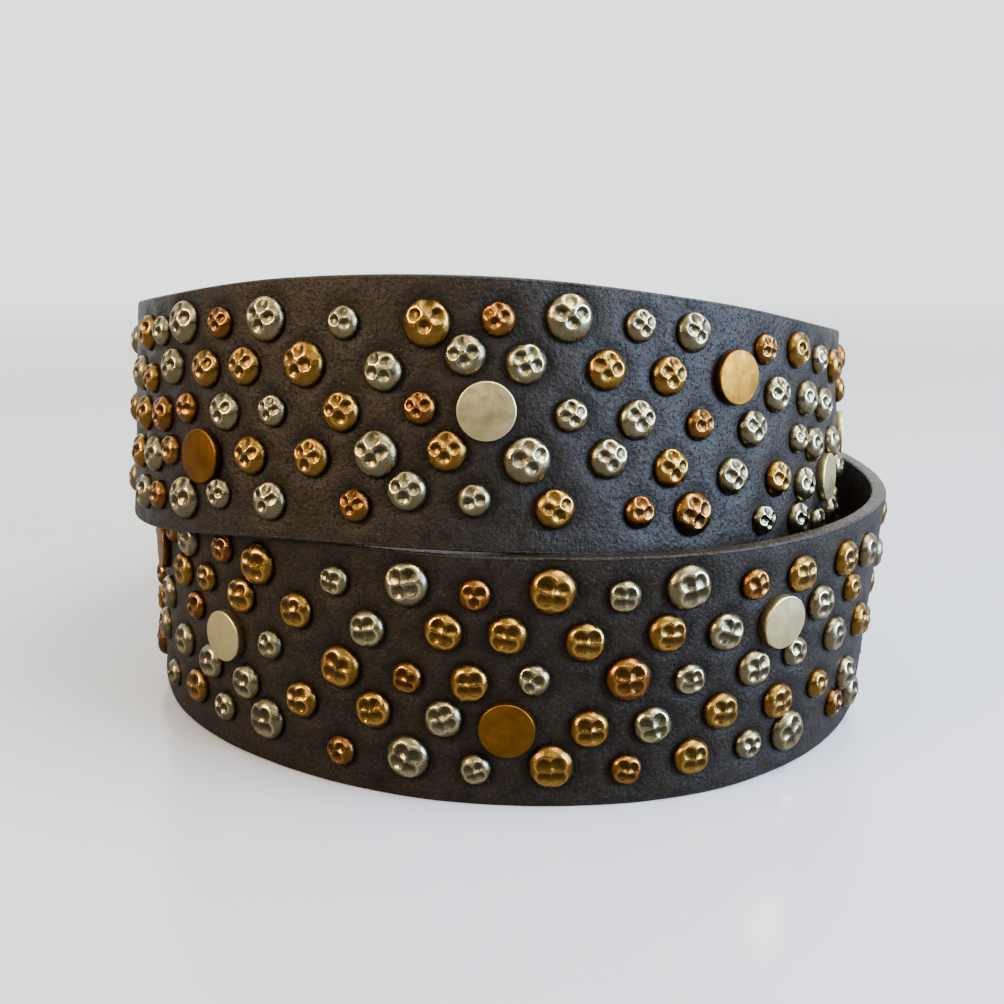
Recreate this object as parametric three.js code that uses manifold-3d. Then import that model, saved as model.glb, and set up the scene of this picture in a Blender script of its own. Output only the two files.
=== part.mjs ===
// A studded leather belt, wound into a coil of about two turns that stands on its lower edge.
// Millimetres, +Z up. The front of the coil faces -Y, and a turn angle of 0 points to the front.
// The angle grows towards +X, so the strap runs from its buckle end, at the back on the left,
// round the front on the floor, up behind, round the front again above, and to its tip.

import * as THREE from 'three';
import { mergeVertices } from 'three/addons/utils/BufferGeometryUtils.js';
import Module from 'manifold-3d';

const wasm = await Module();
wasm.setup();

// Strap
const strapWidth = 45;
const strapThickness = 3;
const edgeBevel = 0.6;
const tipLength = 26;
const sectionStep = 13;

// Coil
const coilRadius = 78;
const layerGap = 0.9;
const startTurn = -165;
const endTurn = 588;

// Studs: base diameter and height of each size, and the lattice that they stand on
const smallStud = { diameter: 5.8, height: 1.3 };
const mediumStud = { diameter: 7.0, height: 1.5 };
const largeStud = { diameter: 8.1, height: 1.6 };
const studSides = 10;
const studPitch = 13.08;
const rowMargin = 6.75;
const firstColumn = 113.6;
const nudge = 1;

// Flat discs among the studs
const discDiameter = 9.8;
const discThickness = 1.2;
const discBevel = 0.35;
const discSides = 16;
const seatGap = 0.3;

// Holes near the tip
const holeDiameter = 4.4;
const holeCount = 5;
const holePitch = 22;
const firstHole = 58;
const holeSides = 12;

// Buckle and the fold that holds it
const barDiameter = 4;
const barSides = 12;
const armWidth = 4;
const frameLength = 33;
const frameThickness = 4;
const frameCorner = 8;
const frameBevel = 0.6;
const frameOverhang = 3;
const prongDiameter = 3.4;
const prongSides = 10;
const sideClearance = 1;
const barClearance = 0.35;
const foldLength = 42;
const foldTaper = 18;
const glueOverlap = 0.1;
const slotLength = 10;
const slotClearance = 0.5;

const layerPitch = strapThickness + largeStud.height + layerGap;
const rowCount = 5;
const rowPitch = (strapWidth - 2 * rowMargin) / (rowCount - 1);
const buckleHeight = strapWidth + 2 * (sideClearance + armWidth);
const buckleRise = (buckleHeight - strapWidth) / 2;
const bendRadius = barDiameter / 2 + barClearance;

// The winding, a row each 30 degrees of turn. oval is the radius of the outer face at mid-height,
// as a share of coilRadius; lap moves it out or in by so many layers; lift is the height of the
// lower edge as a share of strapWidth; rise the same as a share of what the buckle lifts;
// lean tilts the strap, positive where its top stands outwards, in degrees.
const windingStep = 30;
const windingFirst = -180;
const winding = [
  { oval: 1.000, lap: 0.0, lift: 0.000, rise: 1.00, lean: 0.0 },
  { oval: 1.000, lap: 0.0, lift: 0.000, rise: 1.00, lean: 0.0 },
  { oval: 1.000, lap: 0.0, lift: 0.000, rise: 0.65, lean: -1.0 },
  { oval: 1.005, lap: 0.0, lift: 0.000, rise: 0.35, lean: -2.3 },
  { oval: 1.001, lap: 0.0, lift: 0.000, rise: 0.10, lean: -3.0 },
  { oval: 0.985, lap: 0.0, lift: 0.000, rise: 0.00, lean: -2.7 },
  { oval: 1.019, lap: 0.0, lift: 0.000, rise: 0.00, lean: -1.2 },
  { oval: 1.077, lap: 0.0, lift: 0.000, rise: 0.00, lean: 1.2 },
  { oval: 1.078, lap: 0.0, lift: 0.000, rise: 0.00, lean: 3.6 },
  { oval: 1.038, lap: 0.0, lift: 0.000, rise: 0.00, lean: 5.4 },
  { oval: 1.014, lap: 0.3, lift: 0.030, rise: 0.00, lean: 5.0 },
  { oval: 1.008, lap: 0.7, lift: 0.140, rise: 0.00, lean: 3.5 },
  { oval: 1.010, lap: 1.0, lift: 0.300, rise: 0.00, lean: 1.0 },
  { oval: 1.007, lap: 1.2, lift: 0.470, rise: 0.00, lean: -1.5 },
  { oval: 1.005, lap: 1.0, lift: 0.640, rise: 0.00, lean: -3.5 },
  { oval: 1.004, lap: 0.75, lift: 0.790, rise: 0.00, lean: -4.4 },
  { oval: 0.970, lap: 0.78, lift: 0.891, rise: 0.00, lean: -6.3 },
  { oval: 0.944, lap: 0.4, lift: 0.997, rise: 0.00, lean: -7.1 },
  { oval: 0.981, lap: -0.22, lift: 1.005, rise: 0.00, lean: -6.7 },
  { oval: 1.003, lap: -1.1, lift: 0.903, rise: 0.00, lean: -5.4 },
  { oval: 1.006, lap: -1.0, lift: 0.760, rise: 0.00, lean: -3.4 },
  { oval: 1.028, lap: -1.0, lift: 0.658, rise: 0.00, lean: -1.2 },
  { oval: 1.030, lap: -1.2, lift: 0.560, rise: 0.00, lean: 0.5 },
  { oval: 1.024, lap: -1.7, lift: 0.460, rise: 0.00, lean: 1.0 },
  { oval: 1.020, lap: -2.5, lift: 0.370, rise: 0.00, lean: 1.0 },
  { oval: 1.020, lap: -2.65, lift: 0.290, rise: 0.00, lean: 0.5 },
  { oval: 1.020, lap: -2.65, lift: 0.230, rise: 0.00, lean: 0.0 },
];

// The studs, charted by hand: a line for each row from the top, a word for each column.
// S, G and C are silver, gold and copper; 1, 2 and 3 are the sizes, 4 is a flat disc;
// a signed number moves it along the strap, and each ^ or v a step up or down, in nudges.
// Rows 2 and 4 stand half a pitch back.
const frontLow = [
  'S2-1 C1-1^ G3-4 S1+1 S3+2^ C1+1 G3+1^ S1 S3-2^ C1-2 G2-4 G2-3 S2-5v',
  'G2+3^ G1^^ G2-2^ G2-1^ S2+1 G2+2^ G2^ G2 G2+1^ S2-1 S4-2 S2-4^ G1-5^',
  'C1+2^^^ S4 S1-1^ G3+2 C1+2 G2 S1-2^ C3+1^ S1-1 S2-1 S1-4^ S2-4^ G2-4',
  'S2+3^^ S2+1^ S2-1 G2 G2+2^ S2+2^ G4 G2+1 S2-1 G2-1^ G2-1 G1-2 S2-2vv',
  'G2+2^^ S1-1^ S3-2^^ C1+2 S3+2^ S1+1 G3+1^ C1+1 G2^ S1-1^ S3-4^ C1^ S2-3',
];
const frontHigh = [
  'G2+10 S1+5 S3+1^ C1-1 S3-3 S1v G3+2v C1+1 S3^ S1^ S2-2^ C1+3 G2+1^ S1-2 G2-4v',
  'S2+12 G1+7v S2+4^ G2+2 G2-1 G3-1 S2+1v S2+2^^ S2-1^ G2^ G2-1^ G4+1^^ S2 S2-2 S2-6v',
  'G2+10 C2+7 C1+3^ S2+1 S1-1 G2 C1+1^ S4-1^ S1^ S2-1^ C1-1^ S2-1^ S1+1 S2-5v S2-5v',
  'G2+13 S2+10 G1+4^ G4+2 G2+1 G2+1 S3^ G2-1^^ S3-1^ S2^^ G2-1^ S2 G2 S2-3v S4-4',
  'S2+11 C1+6 S3+3 S1^ S2-1 C1+3 S2-1^^^ S1-3^^ G2-3^ C1-1^ C3-3^ S1+2 S2+1 S1-2v S2-3',
];
// Each stretch repeats the columns of a chart from one to another, at a share of the pitch
const stretches = [
  { chart: frontHigh, from: 9, to: 12, spacing: 1 },
  { chart: frontLow, from: 0, to: 13, spacing: 1 },
  { chart: frontHigh, from: 0, to: 12, spacing: 0.987 },
  { chart: frontLow, from: 0, to: 13, spacing: 0.987 },
  { chart: frontHigh, from: 0, to: 15, spacing: 1 },
  { chart: frontLow, from: 1, to: 2, spacing: 1 },
];

const silver = { color: 0xaaa292, roughness: 0.35, metalness: 1 };
const gold = { color: 0xa8864a, roughness: 0.38, metalness: 1 };
const leather = { color: 0x3c342f, roughness: 0.6, metalness: 0 };
const discFinish = { S: silver, G: gold };

// Winding and places along the strap

function windingValue(turn, column) {
  const place = THREE.MathUtils.clamp((turn - windingFirst) / windingStep, 0, winding.length - 1.001);
  const row = Math.floor(place);
  const share = place - row;
  const at = (i) => winding[THREE.MathUtils.clamp(i, 0, winding.length - 1)][column];
  const [before, low, high, after] = [at(row - 1), at(row), at(row + 1), at(row + 2)];
  const slopeLow = (high - before) / 2;
  const slopeHigh = (after - low) / 2;
  return low + slopeLow * share + (3 * (high - low) - 2 * slopeLow - slopeHigh) * share ** 2
    + (2 * (low - high) + slopeLow + slopeHigh) * share ** 3;
}

function planPoint(turn) {
  const radius = coilRadius * windingValue(turn, 'oval') + layerPitch * windingValue(turn, 'lap');
  const angle = THREE.MathUtils.degToRad(turn);
  return new THREE.Vector2(radius * Math.sin(angle), -radius * Math.cos(angle));
}

const arcTable = [{ turn: startTurn, length: 0 }];
for (let turn = startTurn + 1; turn <= endTurn; turn += 1) {
  const previous = arcTable[arcTable.length - 1];
  const length = previous.length + planPoint(turn).distanceTo(planPoint(turn - 1));
  arcTable.push({ turn, length });
}
const strapLength = arcTable[arcTable.length - 1].length;

function turnAt(length) {
  let i = arcTable.findIndex((entry) => entry.length >= length);
  i = THREE.MathUtils.clamp(i < 0 ? arcTable.length - 1 : i, 1, arcTable.length - 1);
  const [a, b] = [arcTable[i - 1], arcTable[i]];
  return a.turn + (b.turn - a.turn) * (length - a.length) / (b.length - a.length);
}

// A station is one place along the strap: the middle of its outer face in plan, the way that
// face looks, the height of the lower edge, the lean and the share of the width that is left.
function stationAt(length, widthShare = 1) {
  const turn = turnAt(length);
  const tangent = planPoint(turn + 0.5).sub(planPoint(turn - 0.5)).normalize();
  const lift = strapWidth * windingValue(turn, 'lift') + buckleRise * windingValue(turn, 'rise');
  return {
    face: planPoint(turn),
    normal: new THREE.Vector2(tangent.y, -tangent.x),
    base: Math.max(0, lift),
    lean: THREE.MathUtils.degToRad(windingValue(turn, 'lean')),
    widthShare,
  };
}

// A point of the strap: depth is below the outer face, height above the lower edge
function strapPoint(station, depth, height) {
  const out = (height - strapWidth / 2) * Math.sin(station.lean) - depth;
  return new THREE.Vector3(
    station.face.x + station.normal.x * out,
    station.face.y + station.normal.y * out,
    station.base + height * Math.cos(station.lean),
  );
}

function section(station) {
  const half = strapWidth * station.widthShare / 2;
  const bevel = Math.min(edgeBevel, half / 2);
  const [low, high] = [strapWidth / 2 - half, strapWidth / 2 + half];
  const outline = [
    [0, low + bevel], [0, high - bevel], [bevel, high], [strapThickness - bevel, high],
    [strapThickness, high - bevel], [strapThickness, low + bevel],
    [strapThickness - bevel, low], [bevel, low],
  ];
  return outline.map(([depth, height]) => strapPoint(station, depth, height));
}

// Solids

function loft(rings) {
  const size = rings[0].length;
  const index = [];
  const last = (rings.length - 1) * size;
  for (let ring = 0; ring < rings.length - 1; ring += 1) {
    for (let j = 0; j < size; j += 1) {
      const [a, b] = [ring * size + j, ring * size + (j + 1) % size];
      index.push(a, a + size, b, b, a + size, b + size);
    }
  }
  for (let j = 1; j < size - 1; j += 1) {
    index.push(0, j, j + 1, last, last + j + 1, last + j);
  }
  const geometry = new THREE.BufferGeometry().setFromPoints(rings.flat());
  geometry.setIndex(index);
  return geometry;
}

function toSolid(geometry) {
  const bare = geometry.clone();
  bare.deleteAttribute('normal');
  bare.deleteAttribute('uv');
  const merged = mergeVertices(bare, 1e-4);
  const corners = Array.from(merged.index.array);
  const kept = [];
  for (let i = 0; i < corners.length; i += 3) {
    const [a, b, c] = corners.slice(i, i + 3);
    if (a !== b && b !== c && c !== a) kept.push(a, b, c);
  }
  return new wasm.Manifold(new wasm.Mesh({
    numProp: 3,
    vertProperties: new Float32Array(merged.attributes.position.array),
    triVerts: new Uint32Array(kept),
  }));
}

function toGeometry(solid) {
  const mesh = solid.getMesh();
  const geometry = new THREE.BufferGeometry();
  geometry.setAttribute('position', new THREE.BufferAttribute(mesh.vertProperties, 3));
  geometry.setIndex(new THREE.BufferAttribute(mesh.triVerts, 1));
  return geometry;
}

// Turns a shape whose +Y is its axis so that it stands on the strap's outer face
function standOnFace(geometry, station, height, depth) {
  const out = new THREE.Vector3(
    station.normal.x * Math.cos(station.lean),
    station.normal.y * Math.cos(station.lean),
    -Math.sin(station.lean),
  );
  const along = new THREE.Vector3(-station.normal.y, station.normal.x, 0);
  const up = new THREE.Vector3().crossVectors(along, out);
  const place = new THREE.Matrix4().makeBasis(along, out, up);
  place.setPosition(strapPoint(station, depth, height));
  return geometry.clone().applyMatrix4(place);
}

function mainStrap() {
  const count = Math.round((strapLength - tipLength) / sectionStep);
  const rings = [];
  for (let i = 0; i <= count; i += 1) {
    rings.push(section(stationAt((strapLength - tipLength) * i / count)));
  }
  const tipShares = [0.3, 0.55, 0.75, 0.88, 0.96, 0.995];
  for (const share of tipShares) {
    const width = Math.sqrt(1 - share ** 2);
    rings.push(section(stationAt(strapLength - tipLength * (1 - share), width)));
  }
  return toSolid(loft(rings));
}

// The end of the strap goes round the buckle's bar and lies glued against its own back
function foldedEnd() {
  const start = stationAt(0);
  const bar = barCentre(start);
  const rings = [];
  const backSteps = 6;
  for (let i = backSteps; i > 0; i -= 1) {
    const length = foldLength * i / backSteps;
    const station = stationAt(length);
    const open = 1 - THREE.MathUtils.smoothstep(length, 0, foldTaper);
    const gap = (2 * bendRadius + glueOverlap) * open - glueOverlap;
    const inward = 2 * strapThickness + gap;
    station.face = station.face.clone().addScaledVector(station.normal, -inward);
    station.normal = station.normal.clone().negate();
    station.lean = -station.lean;
    rings.push(section(station));
  }
  const bendSteps = 6;
  for (let i = 0; i <= bendSteps; i += 1) {
    const angle = Math.PI * i / bendSteps;
    const tangent = new THREE.Vector2(-start.normal.y, start.normal.x);
    const normal = start.normal.clone().multiplyScalar(-Math.cos(angle));
    normal.addScaledVector(tangent, -Math.sin(angle));
    const face = bar.clone().addScaledVector(normal, bendRadius + strapThickness);
    rings.push(section({ ...start, face, normal }));
  }
  return toSolid(loft([...rings, section(stationAt(strapThickness))]));
}

function barCentre(start) {
  return start.face.clone().addScaledVector(start.normal, -strapThickness - bendRadius);
}

function prongSlot() {
  const start = stationAt(0);
  const reach = bendRadius + strapThickness + 1;
  const height = prongDiameter + 2 * slotClearance;
  const slot = new THREE.BoxGeometry(slotLength + reach, 2 * reach, height);
  slot.translate((reach - slotLength) / 2, 0, 0);
  slot.applyMatrix4(buckleFrame(start, Math.atan2(-start.normal.x, start.normal.y)));
  return toSolid(slot);
}

function punchedHole(length) {
  const radius = holeDiameter / 2;
  const hole = new THREE.CylinderGeometry(radius, radius, 3 * strapThickness, holeSides);
  return toSolid(standOnFace(hole, stationAt(length), strapWidth / 2, strapThickness / 2));
}

// A low pointed stud of many flat sides, with its foot sunk into the leather
function pointedStud(size, station, height) {
  const radius = size.diameter / 2;
  const sink = strapThickness / 4;
  const foot = radius * (1 + sink / size.height);
  const profile = [
    new THREE.Vector2(0, -sink),
    new THREE.Vector2(foot, -sink),
    new THREE.Vector2(0, size.height),
  ];
  return toSolid(standOnFace(new THREE.LatheGeometry(profile, studSides), station, height, 0));
}

function discGeometry(station, height) {
  const radius = discDiameter / 2;
  const profile = [
    new THREE.Vector2(0, 0),
    new THREE.Vector2(radius, 0),
    new THREE.Vector2(radius, discThickness - discBevel),
    new THREE.Vector2(radius - discBevel, discThickness),
    new THREE.Vector2(0, discThickness),
  ];
  const disc = new THREE.LatheGeometry(profile, discSides);
  return standOnFace(disc, station, height, -seatGap);
}

// Chart of the studs

function readWord(word) {
  const [, metal, size, shift, rises] = word.match(/^([SGC])([1-4])([+-]\d+)?([\^v]*)$/);
  const steps = [...rises].reduce((sum, mark) => sum + (mark === '^' ? 1 : -1), 0);
  return { metal, size: Number(size), along: nudge * Number(shift ?? 0), up: nudge * steps };
}

function chartedStuds() {
  const studs = [];
  let column = firstColumn;
  for (const { chart, from, to, spacing } of stretches) {
    for (let i = from; i < to; i += 1) {
      chart.forEach((line, row) => {
        const stud = readWord(line.split(' ')[i]);
        const back = row % 2 === 1 ? studPitch / 2 : 0;
        const length = column - back + stud.along;
        const height = strapWidth - rowMargin - row * rowPitch + stud.up;
        studs.push({ ...stud, station: stationAt(length), height });
      });
      column += studPitch * spacing;
    }
  }
  return studs;
}

// Buckle: a plain frame with its bar and prong in one piece, its own +X pointing away from the strap

function buckleFrame(start, heading) {
  const bar = barCentre(start);
  const place = new THREE.Matrix4().makeRotationZ(heading);
  return place.setPosition(bar.x, bar.y, start.base + strapWidth / 2);
}

function buckleGeometry() {
  const [back, far] = [-frameOverhang, frameLength];
  const [outer, inner] = [buckleHeight / 2, buckleHeight / 2 - armWidth];
  const innerCorner = frameCorner - armWidth;
  const innerFar = far - armWidth;
  const outline = new THREE.Shape();
  outline.moveTo(back, -outer);
  outline.lineTo(far - frameCorner, -outer);
  outline.absarc(far - frameCorner, -outer + frameCorner, frameCorner, -Math.PI / 2, 0);
  outline.absarc(far - frameCorner, outer - frameCorner, frameCorner, 0, Math.PI / 2);
  outline.lineTo(back, outer);
  outline.lineTo(back, inner);
  outline.absarc(innerFar - innerCorner, inner - innerCorner, innerCorner, Math.PI / 2, 0, true);
  outline.absarc(innerFar - innerCorner, -inner + innerCorner, innerCorner, 0, -Math.PI / 2, true);
  outline.lineTo(back, -inner);
  const frame = new THREE.ExtrudeGeometry(outline, {
    depth: frameThickness - 2 * frameBevel,
    bevelEnabled: true,
    bevelThickness: frameBevel,
    bevelSize: frameBevel,
    bevelOffset: -frameBevel,
    bevelSegments: 1,
    curveSegments: 5,
  });
  frame.translate(0, 0, frameBevel - frameThickness / 2);
  frame.rotateX(Math.PI / 2);
  const barRadius = barDiameter / 2;
  const bar = new THREE.CylinderGeometry(barRadius, barRadius, 2 * inner + armWidth, barSides);
  bar.rotateX(Math.PI / 2);
  const prongRise = frameThickness / 2 + prongDiameter / 4;
  const prongLength = Math.hypot(frameLength, prongRise);
  const prongRadius = prongDiameter / 2;
  const prong = new THREE.CylinderGeometry(prongRadius, prongRadius, prongLength, prongSides);
  prong.translate(0, prongLength / 2, 0);
  prong.rotateZ(Math.atan2(prongRise, frameLength) - Math.PI / 2);
  return toGeometry(toSolid(frame).add(toSolid(bar)).add(toSolid(prong)));
}

// Assembly

const group = new THREE.Group();

function addMesh(name, geometry, finish) {
  const mesh = new THREE.Mesh(geometry, new THREE.MeshStandardMaterial(finish));
  mesh.name = name;
  group.add(mesh);
  return mesh;
}

const studs = chartedStuds();
const studSizes = { 1: smallStud, 2: mediumStud, 3: largeStud };

let strap = mainStrap().add(foldedEnd()).subtract(prongSlot());
for (let i = 0; i < holeCount; i += 1) {
  strap = strap.subtract(punchedHole(strapLength - firstHole - i * holePitch));
}
for (const stud of studs) {
  const size = studSizes[stud.size];
  if (size) strap = strap.add(pointedStud(size, stud.station, stud.height));
}
addMesh('strap', toGeometry(strap), leather);

const discs = studs.filter((stud) => stud.size === 4);
discs.forEach((disc, i) => {
  const name = `disc_${String(i + 1).padStart(2, '0')}`;
  addMesh(name, discGeometry(disc.station, disc.height), discFinish[disc.metal]);
});

const buckle = addMesh('buckle', buckleGeometry(), gold);
buckle.applyMatrix4(buckleFrame(stationAt(0), 0));

// The origin is under the middle of the coil's outline, on the surface that it stands on
const outline = new THREE.Box3().setFromObject(group);
const middle = outline.getCenter(new THREE.Vector3());
group.position.set(-middle.x, -middle.y, -outline.min.z);

export default group;
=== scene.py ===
# A studded leather belt, coiled in about two turns and standing on its lower edge.
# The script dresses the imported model: fine leather, hammered studs, flat discs and a buckle.
# Lengths at the top are millimetres, and every object is made in metres in the model's frame.

import math

import bmesh
import bpy
import numpy as np
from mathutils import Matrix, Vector, noise


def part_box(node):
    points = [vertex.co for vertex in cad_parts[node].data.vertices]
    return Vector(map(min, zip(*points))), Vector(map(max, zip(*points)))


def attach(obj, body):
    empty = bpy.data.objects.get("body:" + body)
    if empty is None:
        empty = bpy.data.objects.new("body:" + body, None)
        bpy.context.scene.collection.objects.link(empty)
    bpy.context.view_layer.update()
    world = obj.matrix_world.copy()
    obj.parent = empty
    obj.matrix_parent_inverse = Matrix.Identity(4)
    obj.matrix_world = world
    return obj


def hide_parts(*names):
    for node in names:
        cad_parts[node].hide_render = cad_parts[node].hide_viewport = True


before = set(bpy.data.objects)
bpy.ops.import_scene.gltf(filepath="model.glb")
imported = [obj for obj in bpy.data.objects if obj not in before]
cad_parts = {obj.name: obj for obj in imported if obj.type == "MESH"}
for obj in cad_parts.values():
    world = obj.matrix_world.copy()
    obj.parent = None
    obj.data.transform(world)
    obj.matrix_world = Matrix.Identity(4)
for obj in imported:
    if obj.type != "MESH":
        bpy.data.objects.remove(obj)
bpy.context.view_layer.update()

MM = 0.001

# Strap
STRAP_WIDTH = 45.0
STRAP_THICKNESS = 3.0
TIP_LENGTH = 26.0
EDGE_RADIUS = 0.6

# Coil
COIL_RADIUS = 78.0
LAYER_PITCH = 5.5
START_TURN = -165
END_TURN = 588

# Studs: base diameter and height of each size, and the lattice that they stand on
STUD_SIZES = {1: (5.8, 1.8), 2: (7.0, 2.05), 3: (8.1, 2.2)}
STUD_PITCH = 13.08
ROW_MARGIN = 6.75
ROW_PITCH = (STRAP_WIDTH - 2 * ROW_MARGIN) / 4
FIRST_COLUMN = 113.6
NUDGE = 1.0

# Flat discs among the studs
DISC_DIAMETER = 9.8
DISC_THICKNESS = 1.2
SEAT_GAP = 0.3

# Holes near the tip
HOLE_DIAMETER = 4.4
HOLE_COUNT = 5
HOLE_PITCH = 22.0
FIRST_HOLE = 58.0

# Buckle and the fold that holds it
BAR_DIAMETER = 4.0
ARM_WIDTH = 4.0
PRONG_DIAMETER = 3.4
SIDE_CLEARANCE = 1.0
BAR_CLEARANCE = 0.35
FOLD_LENGTH = 42.0
FOLD_TAPER = 18.0
SLOT_LENGTH = 10.0
SLOT_CLEARANCE = 0.5

BUCKLE_HEIGHT = STRAP_WIDTH + 2 * (SIDE_CLEARANCE + ARM_WIDTH)
BUCKLE_RISE = (BUCKLE_HEIGHT - STRAP_WIDTH) / 2
BEND_RADIUS = BAR_DIAMETER / 2 + BAR_CLEARANCE

# The winding, a row each 30 degrees of turn: radius as a share of the coil's, lap in layers,
# lift as a share of the width, rise as a share of the buckle's, and lean in degrees.
# The rows of the visible turns were fitted to the picture's outlines by a program and rounded.
WINDING_STEP = 30
WINDING_FIRST = -180
OVAL, LAP, LIFT, RISE, LEAN = range(5)
WINDING = np.array([
    (1.000, 0.0, 0.000, 1.00, 0.0),
    (1.000, 0.0, 0.000, 1.00, 0.0),
    (1.000, 0.0, 0.000, 0.65, -1.0),
    (1.005, 0.0, 0.000, 0.35, -2.3),
    (1.001, 0.0, 0.000, 0.10, -3.0),
    (0.985, 0.0, 0.000, 0.00, -2.7),
    (1.019, 0.0, 0.000, 0.00, -1.2),
    (1.077, 0.0, 0.000, 0.00, 1.2),
    (1.078, 0.0, 0.000, 0.00, 3.6),
    (1.038, 0.0, 0.000, 0.00, 5.4),
    (1.014, 0.3, 0.030, 0.00, 5.0),
    (1.008, 0.7, 0.140, 0.00, 3.5),
    (1.010, 1.0, 0.300, 0.00, 1.0),
    (1.007, 1.2, 0.470, 0.00, -1.5),
    (1.005, 1.0, 0.640, 0.00, -3.5),
    (1.004, 0.75, 0.790, 0.00, -4.4),
    (0.970, 0.78, 0.891, 0.00, -6.3),
    (0.944, 0.4, 0.997, 0.00, -7.1),
    (0.981, -0.22, 1.005, 0.00, -6.7),
    (1.003, -1.1, 0.903, 0.00, -5.4),
    (1.006, -1.0, 0.760, 0.00, -3.4),
    (1.028, -1.0, 0.658, 0.00, -1.2),
    (1.030, -1.2, 0.560, 0.00, 0.5),
    (1.024, -1.7, 0.460, 0.00, 1.0),
    (1.020, -2.5, 0.370, 0.00, 1.0),
    (1.020, -2.65, 0.290, 0.00, 0.5),
    (1.020, -2.65, 0.230, 0.00, 0.0),
])

# The studs of the two fronts: a line for each row from the top, a word for each column.
# S, G and C are silver, gold and copper; 1, 2 and 3 are the sizes, 4 is a flat disc;
# a signed number moves it along the strap, and each ^ or v a step up or down, in nudges.
# Rows 2 and 4 stand half a pitch back. Metals and sizes were charted; the nudges were
# worked out by a program from the studs' centres in the picture, and rounded.
FRONT_LOW = [
    "S2-1 C1-1^ G3-4 S1+1 S3+2^ C1+1 G3+1^ S1 S3-2^ C1-2 G2-4 G2-3 S2-5v",
    "G2+3^ G1^^ G2-2^ G2-1^ S2+1 G2+2^ G2^ G2 G2+1^ S2-1 S4-2 S2-4^ G1-5^",
    "C1+2^^^ S4 S1-1^ G3+2 C1+2 G2 S1-2^ C3+1^ S1-1 S2-1 S1-4^ S2-4^ G2-4",
    "S2+3^^ S2+1^ S2-1 G2 G2+2^ S2+2^ G4 G2+1 S2-1 G2-1^ G2-1 G1-2 S2-2vv",
    "G2+2^^ S1-1^ S3-2^^ C1+2 S3+2^ S1+1 G3+1^ C1+1 G2^ S1-1^ S3-4^ C1^ S2-3",
]
FRONT_HIGH = [
    "G2+10 S1+5 S3+1^ C1-1 S3-3 S1v G3+2v C1+1 S3^ S1^ S2-2^ C1+3 G2+1^ S1-2 G2-4v",
    "S2+12 G1+7v S2+4^ G2+2 G2-1 G3-1 S2+1v S2+2^^ S2-1^ G2^ G2-1^ G4+1^^ S2 S2-2 S2-6v",
    "G2+10 C2+7 C1+3^ S2+1 S1-1 G2 C1+1^ S4-1^ S1^ S2-1^ C1-1^ S2-1^ S1+1 S2-5v S2-5v",
    "G2+13 S2+10 G1+4^ G4+2 G2+1 G2+1 S3^ G2-1^^ S3-1^ S2^^ G2-1^ S2 G2 S2-3v S4-4",
    "S2+11 C1+6 S3+3 S1^ S2-1 C1+3 S2-1^^^ S1-3^^ G2-3^ C1-1^ C3-3^ S1+2 S2+1 S1-2v S2-3",
]
# Each stretch repeats the columns of a chart from one to another, at a share of the pitch
STRETCHES = [
    (FRONT_HIGH, 9, 12, 1.0),
    (FRONT_LOW, 0, 13, 1.0),
    (FRONT_HIGH, 0, 12, 0.987),
    (FRONT_LOW, 0, 13, 0.987),
    (FRONT_HIGH, 0, 15, 1.0),
    (FRONT_LOW, 1, 2, 1.0),
]
# Degrees of turn from which a stud counts as one of the upper turn
HIGH_TURN_STARTS = 250

rng = np.random.default_rng(11)


# Winding and places along the strap

def winding_value(turn, column):
    """One column of the winding at a turn in degrees, as a smooth curve through its rows."""
    place = (np.asarray(turn, float) - WINDING_FIRST) / WINDING_STEP
    place = np.clip(place, 0, len(WINDING) - 1.001)
    row = np.floor(place).astype(int)
    share = place - row
    at = lambda i: WINDING[np.clip(i, 0, len(WINDING) - 1), column]
    before, low, high, after = at(row - 1), at(row), at(row + 1), at(row + 2)
    slope_low, slope_high = (high - before) / 2, (after - low) / 2
    square = 3 * (high - low) - 2 * slope_low - slope_high
    cube = 2 * (low - high) + slope_low + slope_high
    return low + slope_low * share + square * share ** 2 + cube * share ** 3


def plan_point(turn):
    radius = COIL_RADIUS * winding_value(turn, OVAL) + LAYER_PITCH * winding_value(turn, LAP)
    angle = np.radians(turn)
    return np.stack([radius * np.sin(angle), -radius * np.cos(angle)], -1)


ARC_TURNS = np.arange(START_TURN, END_TURN + 1)
ARC_STEPS = np.linalg.norm(np.diff(plan_point(ARC_TURNS), axis=0), axis=1)
ARC_LENGTHS = np.concatenate([[0], np.cumsum(ARC_STEPS)])
STRAP_LENGTH = ARC_LENGTHS[-1]


class Stations:
    """Places along the strap: outer face in plan, its normal, lower edge, lean, share of width."""

    def __init__(self, face, normal, base, lean, width):
        self.face, self.normal, self.base, self.lean, self.width = face, normal, base, lean, width

    def point(self, depth, height):
        out = (height - STRAP_WIDTH / 2) * np.sin(self.lean) - depth
        plan = self.face + self.normal * out[..., None]
        z = self.base + height * np.cos(self.lean)
        return np.concatenate([plan, z[..., None]], -1)


def stations(length, width=1.0):
    length = np.atleast_1d(np.asarray(length, float))
    turn = np.interp(length, ARC_LENGTHS, ARC_TURNS)
    tangent = plan_point(turn + 0.5) - plan_point(turn - 0.5)
    tangent /= np.linalg.norm(tangent, axis=-1, keepdims=True)
    normal = np.stack([tangent[..., 1], -tangent[..., 0]], -1)
    lift = STRAP_WIDTH * winding_value(turn, LIFT) + BUCKLE_RISE * winding_value(turn, RISE)
    lean = np.radians(winding_value(turn, LEAN))
    return Stations(plan_point(turn), normal, np.maximum(0, lift), lean, width * np.ones(len(length)))


def joined(*parts):
    names = ("face", "normal", "base", "lean", "width")
    return Stations(*[np.concatenate([getattr(part, name) for part in parts]) for name in names])


# Chart of the studs

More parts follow.
